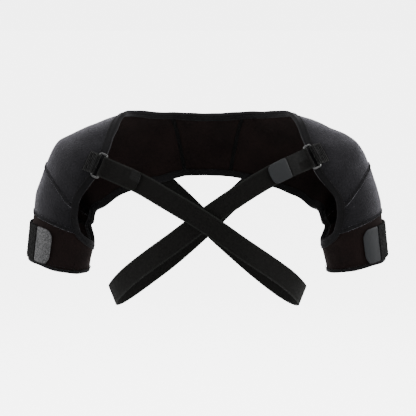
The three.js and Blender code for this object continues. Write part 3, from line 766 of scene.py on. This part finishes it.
def resampled(line, step):
    """The line at even steps on smooth curves through its points, with a normal at each, and its length."""
    places = [p for p, _ in line]
    normals = [n for _, n in line]
    fine = []
    for i in range(len(places) - 1):
        before, after = places[max(i - 1, 0)], places[min(i + 2, len(places) - 1)]
        for k in range(CURVE_STEPS):
            t = k / CURVE_STEPS
            spot = curve_point(before, places[i], places[i + 1], after, t)
            fine.append((spot, normals[i].lerp(normals[i + 1], t).normalized()))
    fine.append((places[-1], normals[-1]))
    for _ in range(SMOOTHINGS):
        middle = [
            (here[0], (last[1] + here[1] * 2 + following[1]).normalized())
            for last, here, following in zip(fine, fine[1:], fine[2:])
        ]
        fine = [fine[0]] + middle + [fine[-1]]
    distance = [0]
    for i in range(1, len(fine)):
        distance.append(distance[-1] + (fine[i][0] - fine[i - 1][0]).length)
    count = max(2, round(distance[-1] / step))
    even, i = [], 0
    for k in range(count + 1):
        goal = distance[-1] * k / count
        while i < len(fine) - 2 and distance[i + 1] < goal:
            i += 1
        share = (goal - distance[i]) / max(SHORTEST_STEP, distance[i + 1] - distance[i])
        (place, normal), (next_place, next_normal) = fine[i], fine[i + 1]
        even.append((place.lerp(next_place, share), normal.lerp(next_normal, share).normalized()))
    return even, distance[-1]


print("curve steps between two points:", CURVE_STEPS)

# %% [markdown]
# The band itself is a grid that is bent onto the cloth. A Shrinkwrap modifier could do that, but it pulls
# points together at a bend. Here each point keeps its place along and across the line, and only its height
# is taken from the cloth. The middle of the band stands proud and its edges sink in.

# %% Set a point on the cloth
PROBE_HEIGHT = 2 * MM


def settled(place, normal, tree, lift):
    """The place moved along its normal until it lies that far above the cloth."""
    hit = tree.find_nearest(place + normal * PROBE_HEIGHT)[0]
    return place + normal * ((hit - place).dot(normal) + lift)


def sideways(even, k):
    """The direction across the line at its k-th point."""
    ahead = even[min(k + 1, len(even) - 1)][0] - even[max(k - 1, 0)][0]
    return even[k][1].cross(ahead).normalized()


print("the cloth is looked for from", PROBE_HEIGHT, "m above the line")

# %% Lay a band along a line
BAND_STEP = 2.5 * MM
BAND_COLUMNS = 8
BAND_SUNK = 0.15 * MM
BAND_THICKNESS = 0.4 * MM
BAND_FLATNESS = 4


def band(name, line, width, height, tree):
    """A low rounded band on the cloth along a line, with a map in metres."""
    even, length = resampled(line, BAND_STEP)
    bpy.ops.object.select_all(action="DESELECT")
    bpy.ops.mesh.primitive_grid_add(
        x_subdivisions=len(even) - 1, y_subdivisions=BAND_COLUMNS, size=1, calc_uvs=True
    )
    piece = bpy.context.active_object
    piece.name = piece.data.name = name
    mesh = piece.data
    rows = len(even)
    shares = []
    for vertex in mesh.vertices:
        k = round((vertex.co.x + 0.5) * (rows - 1))
        share = 2 * vertex.co.y
        shares.append((k, share))
        place, normal = even[k]
        place = place + sideways(even, k) * (share * width / 2)
        vertex.co = settled(place, normal, tree, height * (1 - abs(share) ** BAND_FLATNESS) - BAND_SUNK)
    layer = mesh.uv_layers.active.data
    for loop in mesh.loops:
        k, share = shares[loop.vertex_index]
        layer[loop.index].uv = (length * k / (rows - 1), (share + 1) * width / 2)
    work = bmesh.new()
    work.from_mesh(mesh)
    middle = work.faces[:][len(work.faces) // 2]
    guide = min(even, key=lambda e: (e[0] - middle.calc_center_median()).length)[1]
    if middle.normal.dot(guide) < 0:
        bmesh.ops.reverse_faces(work, faces=work.faces)
    work.to_mesh(mesh)
    work.free()
    with_modifier(piece, "SOLIDIFY", thickness=BAND_THICKNESS, offset=-1)
    bpy.ops.object.shade_smooth()
    return piece


print("bands have a point every", BAND_STEP, "m")

# %% [markdown]
# Two rows of needle thread run along each band, with the looper thread slanting between them. One stitch
# is modelled as a thin capsule and repeated along the line. The sphere's faces come in another order at
# each run, so they are sorted, and every run then gives the same mesh.

# %% One stitch
STITCH_GIRTH = 0.28
bpy.ops.object.select_all(action="DESELECT")
bpy.ops.mesh.primitive_uv_sphere_add(segments=6, ring_count=4, radius=1)
bpy.ops.transform.resize(value=(1, STITCH_GIRTH, STITCH_GIRTH))
bpy.ops.object.transform_apply(location=False, rotation=False, scale=True)
stitch = bpy.context.active_object
stitch_places = [v.co.copy() for v in stitch.data.vertices]
stitch_faces = sorted(list(p.vertices) for p in stitch.data.polygons)
bpy.data.objects.remove(stitch)
print("one stitch:", len(stitch_faces), "faces")

# %% [markdown]
# A row is laid as a sewing machine lays it, stitch by stitch at an even pitch. All the stitches of one kind
# become one object, because thousands of single ones would be slow to handle.

# %% Rows of stitches
THREAD_THICKNESS = 0.45 * MM
THICKNESS_PER_LENGTH = 0.2
THREAD_LIFT = 0.25 * MM


def stitches(name, rows):
    """One object of many stitches; each row is a list of (place, direction, normal, length)."""
    places, faces = [], []
    for place, direction, normal, length in rows:
        side = normal.cross(direction).normalized()
        first = len(places)
        half = length / 2
        thick = max(THREAD_THICKNESS, THICKNESS_PER_LENGTH * half)
        for p in stitch_places:
            girth = (side * p.y + normal * p.z) * thick / STITCH_GIRTH
            places.append(place + direction * p.x * half + girth)
        faces += [[first + i for i in f] for f in stitch_faces]
    mesh = bpy.data.meshes.new(name)
    mesh.from_pydata(places, [], faces)
    piece = bpy.data.objects.new(name, mesh)
    bpy.context.scene.collection.objects.link(piece)
    only(piece)
    bpy.ops.object.shade_smooth()
    print(name, len(rows), "stitches")
    return piece


def running(line, tree, shift, pitch, share=0.7, lift=THREAD_LIFT, slant=0.0):
    """The stitches of one row along a line, a shift to its side."""
    even, _ = resampled(line, pitch)
    made = []
    for k in range(len(even) - 1):
        place = (even[k][0] + even[k + 1][0]) / 2
        normal = even[k][1]
        ahead = (even[k + 1][0] - even[k][0]).normalized()
        side = sideways(even, k)
        spot = settled(place + side * shift, normal, tree, lift)
        way = (ahead + side * slant).normalized()
        made.append((spot, (way - normal * way.dot(normal)).normalized(), normal, pitch * share))
    return made


print("thread thickness:", THREAD_THICKNESS, "m")

# %% [markdown]
# Every seam gets a band outside and a band inside. The outer one is of the panels' own cloth and a little
# higher, and the inner one is a black tape, which shows on the inside of the yoke as a dark line.

# %% The seam bands and their stitches
SEAM_WIDTH = 6 * MM
BAND_LOOKS = {"outer": (0.8 * MM, outer_cloth), "inner": (0.6 * MM, inner_tape)}
NEEDLE_ROWS = (-2 * MM, 2 * MM)
NEEDLE_PITCH = 3 * MM
LOOPER_PITCH = 2.4 * MM
LOOPER_SHARE = 1.3
LOOPER_SLANT = 1.6
cloth = tree_of(*[panels[n] for n in coarse])
seam_threads = []
for name, lines in seams.items():
    for face, line in lines.items():
        height, material = BAND_LOOKS[face]
        piece = band(f"{name}_{face}", line, SEAM_WIDTH, height, cloth)
        dress(piece, material, "binding_tape")
        top = tree_of(piece)
        for shift in NEEDLE_ROWS:
            seam_threads += running(line, top, shift, NEEDLE_PITCH)
        seam_threads += running(line, top, 0, LOOPER_PITCH, share=LOOPER_SHARE, slant=LOOPER_SLANT)
        print(piece.name, len(piece.data.polygons), "faces")
dress(stitches("seam_stitches", seam_threads), thread, "binding_tape")

# %% [markdown]
# The tapes and the cuff hems are held by one row of stitches near their inner edge. That row follows the
# free rim of each panel, which is found as the wall faces that have no neighbour across them.

# %% Find the free rims
FREE_BEYOND = 2.2 * MM
NEIGHBOURS = {
    "yoke_panel": ["shoulder_panel_left", "shoulder_panel_right"],
    **{f"shoulder_panel_{s}": ["yoke_panel", f"sleeve_panel_{s}"] for s in SIDES},
    **{f"sleeve_panel_{s}": [f"shoulder_panel_{s}", f"cuff_{s}"] for s in SIDES},
    **{f"cuff_{s}": [f"sleeve_panel_{s}"] for s in SIDES},
}


def free_rims(node):
    """The chains of free edges of a panel, outside and inside."""
    near = [tree_of(coarse[other]) for other in NEIGHBOURS[node]]

    def is_free_wall(face):
        if sum(crosses_wall(e) for e in face.edges) < min(2, len(face.verts) - 2):
            return False
        centre = face.calc_center_median()
        return all(t.find_nearest(centre)[3] > FREE_BEYOND for t in near)

    return rims(coarse[node], is_free_wall)


free_chains = {node: free_rims(node) for node in NEIGHBOURS}
print("free rims:", {node: len(chains) for node, chains in free_chains.items()})

# %% [markdown]
# A row has to lie on the panel's side of its rim. Which side that is differs from rim to rim, so both are
# tried at the middle of the line, and the one that is nearer to the panel is taken.

# %% Tape stitches
TAPE_ROW = 7 * MM
HEM_ROW = 4.5 * MM
TAPE_PITCH = 3.2 * MM
TRIAL_STEP = 5 * MM


def inward_shift(node, line, distance):
    """The shift along the sideways direction that leads onto the panel."""
    even, _ = resampled(line, TRIAL_STEP)
    own = tree_of(coarse[node])
    k = len(even) // 2
    test = even[k][0] + sideways(even, k) * distance
    back = even[k][0] - sideways(even, k) * distance
    return distance if own.find_nearest(test)[3] < own.find_nearest(back)[3] else -distance


tapes = tree_of(*[panels[n] for n in TAPES], *[panels[n] for n in coarse])
tape_threads = []
for node, chains in free_chains.items():
    distance = HEM_ROW if node.startswith("cuff") else TAPE_ROW
    for chain in chains:
        tape_threads += running(chain, tapes, inward_shift(node, chain, distance), TAPE_PITCH)
dress(stitches("tape_stitches", tape_threads), thread, "binding_tape")

# %% [markdown]
# ## Straps, rings and fastenings
# Webbing is flat and even, so its copies only need rounded edges. Its weave has to run along the strap,
# and for that the faces are unrolled from one square: each next square is laid beside the last at its real
# length, as one would unroll a ribbon.

# %% Unroll a strap into its map
def unroll(piece):
    """Maps a piece of webbing in metres: U along it, V across it and on round its edge."""
    only(piece)
    mesh = piece.data
    if not mesh.uv_layers:
        mesh.uv_layers.new(name="unrolled")
    bpy.ops.object.mode_set(mode="EDIT")
    bpy.ops.mesh.select_mode(type="FACE")
    bpy.ops.mesh.select_all(action="SELECT")
    work = bmesh.from_edit_mesh(mesh)
    layer = work.loops.layers.uv.verify()
    work.faces.ensure_lookup_table()

    def sharp_edges(face):
        return [e for e in face.edges if e.calc_face_angle(0) > SHARP_ANGLE]

    edge_squares = (f for f in work.faces if len(f.verts) == 4 and len(sharp_edges(f)) == 1)
    start = max(edge_squares, key=lambda f: f.calc_area())
    edge = sharp_edges(start)[0]
    loops = list(start.loops)
    first = next(i for i, loop in enumerate(loops) if loop.edge == edge)
    a, b, c, d = (loops[(first + i) % 4] for i in range(4))
    long, wide = edge.calc_length(), (b.vert.co - c.vert.co).length
    a[layer].uv, b[layer].uv, c[layer].uv, d[layer].uv = (0, 0), (long, 0), (long, wide), (0, wide)
    for face in work.faces:
        for loop in face.loops:
            loop[layer].select = loop[layer].select_edge = True
    work.faces.active = start
    bmesh.update_edit_mesh(mesh)
    bpy.ops.uv.follow_active_quads(mode="LENGTH")
    bpy.ops.object.mode_set(mode="OBJECT")
    return piece


webbings = {}
for side in SIDES:
    for kind, material in (("strap", webbing), ("anchor", anchor_webbing)):
        piece = unroll(copy_of(f"{kind}_{side}", f"webbing_{kind}_{side}"))
        coarse_points = [v.co.copy() for v in piece.data.vertices]
        dress(soften(piece, levels=2, crease=0.7), material, f"{kind}_webbing", f"{kind}_{side}")
        webbings[kind, side] = (piece, coarse_points)
        print(kind, side, "faces:", len(piece.data.polygons))

# %% [markdown]
# The folded end of a strap is brushed, so it is a little paler than the rest. Its faces are those that the
# strap's map holds within the fold's length of the end beside the ring.

# %% The folded ends
FOLD_LENGTH = {"right": 55 * MM, "left": 33 * MM}


def middle_of(places):
    """The mean of some places."""
    return sum(places, Vector()) / len(places)


ring_middle = {}
for side in SIDES:
    ring = frame["nodes"][f"ring_{side}"]
    ring_middle[side] = ring.matrix_world @ middle_of([v.co for v in ring.data.vertices])
    mesh = webbings["strap", side][0].data
    mesh.materials.append(fold_webbing)
    layer = mesh.uv_layers.active.data
    how_far = {}
    for face in mesh.polygons:
        how_far[face.index] = sum(layer[i].uv.x for i in face.loop_indices) / len(face.loop_indices)
    ends = [min(how_far, key=how_far.get), max(how_far, key=how_far.get)]
    tip = min(ends, key=lambda i: (mesh.polygons[i].center - ring_middle[side]).length)
    folded = [f for f in mesh.polygons if abs(how_far[f.index] - how_far[tip]) < FOLD_LENGTH[side]]
    for face in folded:
        face.material_index = 1
    print(side, "faces of the folded end:", len(folded), "of", len(mesh.polygons))

# %% [markdown]
# Where webbing is sewn down, it carries a box of stitches with two diagonals. Each box is placed from the
# end of its webbing: the corners give the direction across, and the cloth's own face gives the way out.

# %% A box of stitches
BOX_INSET = 3 * MM
BOX_PITCH = 2.6 * MM
BOX_LIFT = 0.1 * MM
BOX_SIDES = ((0, 1), (1, 2), (2, 3), (3, 0), (0, 2), (1, 3))
LINE_STEPS = 4
OFF_THE_CLOTH = 3 * MM


def sewn_box(piece, points, way, count, outward, length):
    """Stitches round a box and along its diagonals, at the end of a webbing that points that way."""
    tip = sorted(points, key=lambda p: -p.dot(way))[:count]
    end = middle_of(tip)
    corner = max(tip, key=lambda p: (p - end).length)
    across = max(tip, key=lambda p: (p - corner).length) - corner
    half = across.length / 2 - BOX_INSET
    across.normalize()
    tree = tree_of(piece)
    back = (-way - across * (-way).dot(across)).normalized()
    normal = back.cross(across).normalized()
    if normal.dot(outward) < 0:
        normal.negate()
    near, far = end + back * BOX_INSET, end + back * (BOX_INSET + length)
    corners = [near - across * half, near + across * half, far + across * half, far - across * half]
    rows = []
    for i, j in BOX_SIDES:
        spots = [corners[i].lerp(corners[j], k / LINE_STEPS) for k in range(LINE_STEPS + 1)]
        line = [(spot + normal * OFF_THE_CLOTH, normal) for spot in spots]
        rows += running(line, tree, 0, BOX_PITCH, share=0.75, lift=BOX_LIFT)
    return rows


print("sides and diagonals of a box:", len(BOX_SIDES))

# %% [markdown]
# The anchors are sewn to the front edges, pointing away from their rings, and the straps to the lower edge
# of the back, where they come up and outwards.

# %% Boxes of stitches on the sewn ends
ANCHOR_BOX = {"count": 20, "outward": Vector((0, -1, 0.4)), "length": 7 * MM}
STRAP_BOX = {"count": 6, "outward": Vector((0, 1, 0)), "length": 20 * MM}
STRAP_END_OUT, STRAP_END_UP = 0.65, 0.76
BEHIND = 50 * MM
box_threads = []
for side, sign in (("left", 1), ("right", -1)):
    piece, points = webbings["anchor", side]
    way = (middle_of(points) - ring_middle[side]).normalized()
    box_threads += sewn_box(piece, points, way, **ANCHOR_BOX)
    piece, points = webbings["strap", side]
    behind = [p for p in points if p.y > BEHIND]
    box_threads += sewn_box(piece, behind, Vector((sign * STRAP_END_OUT, 0, STRAP_END_UP)), **STRAP_BOX)
dress(stitches("box_stitches", box_threads), thread, "strap_webbing")

# %% [markdown]
# The rings are moulded plastic with rounded bars. Their solids are round already, so one subdivision only
# makes the highlights run smoothly.

# %% Rings
for side in SIDES:
    ring = soften(copy_of(f"ring_{side}", f"moulded_ring_{side}"), levels=1, crease=0)
    dress(ring, ring_plastic, "ring", f"ring_{side}")
    print("ring faces:", len(ring.data.polygons))

# %% [markdown]
# Each cuff closes with a strip of pile and a tab on it. Pile isn't smooth in outline, so after a fine
# subdivision a small noise pushes its surface in and out. The right tab is brushed plush, which gets a
# weaker and slower noise, and the left tab and the strap's tab are smooth.

# %% Strips and tabs
CURL_HEIGHT = 2.2 * MM
PLUSH_HEIGHT = 1.0 * MM
curl_noise = bpy.data.textures.new("curl_noise", "CLOUDS")
curl_noise.noise_scale = 1.6 * MM
curl_noise.noise_depth = 1
plush_noise = bpy.data.textures.new("plush_noise", "CLOUDS")
plush_noise.noise_scale = 4 * MM


def fuzzed(piece, texture, strength):
    """Pushes a surface in and out by a fine noise."""
    return with_modifier(
        piece, "DISPLACE", texture=texture, texture_coords="LOCAL", mid_level=MIDDLE_TONE, strength=strength
    )


for side in SIDES:
    strip = soften(copy_of(f"cuff_strip_{side}", f"pile_strip_{side}"), levels=4, crease=0.5)
    dress(fuzzed(strip, curl_noise, CURL_HEIGHT), dark_pile, "pile", f"cuff_strip_{side}")
    tab = soften(copy_of(f"cuff_grip_{side}", f"cuff_tab_{side}"), levels=4, crease=0.35)
    if side == "right":
        dress(fuzzed(tab, plush_noise, PLUSH_HEIGHT), grey_plush, "light_pile", f"cuff_grip_{side}")
    else:
        dress(tab, grip_cloth, "grip", f"cuff_grip_{side}")
    print(side, "strip faces:", len(strip.data.polygons), "tab faces:", len(tab.data.polygons))

strap_tab = soften(copy_of("strap_grip_left", "strap_tab_left"), levels=3, crease=0.35)
dress(strap_tab, grip_cloth, "grip", "strap_grip_left")
print("strap tab faces:", len(strap_tab.data.polygons))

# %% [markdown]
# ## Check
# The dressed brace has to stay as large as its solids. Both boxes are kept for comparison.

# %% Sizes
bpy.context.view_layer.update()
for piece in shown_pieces():
    if piece.type == "MESH":
        piece.data.calc_loop_triangles()
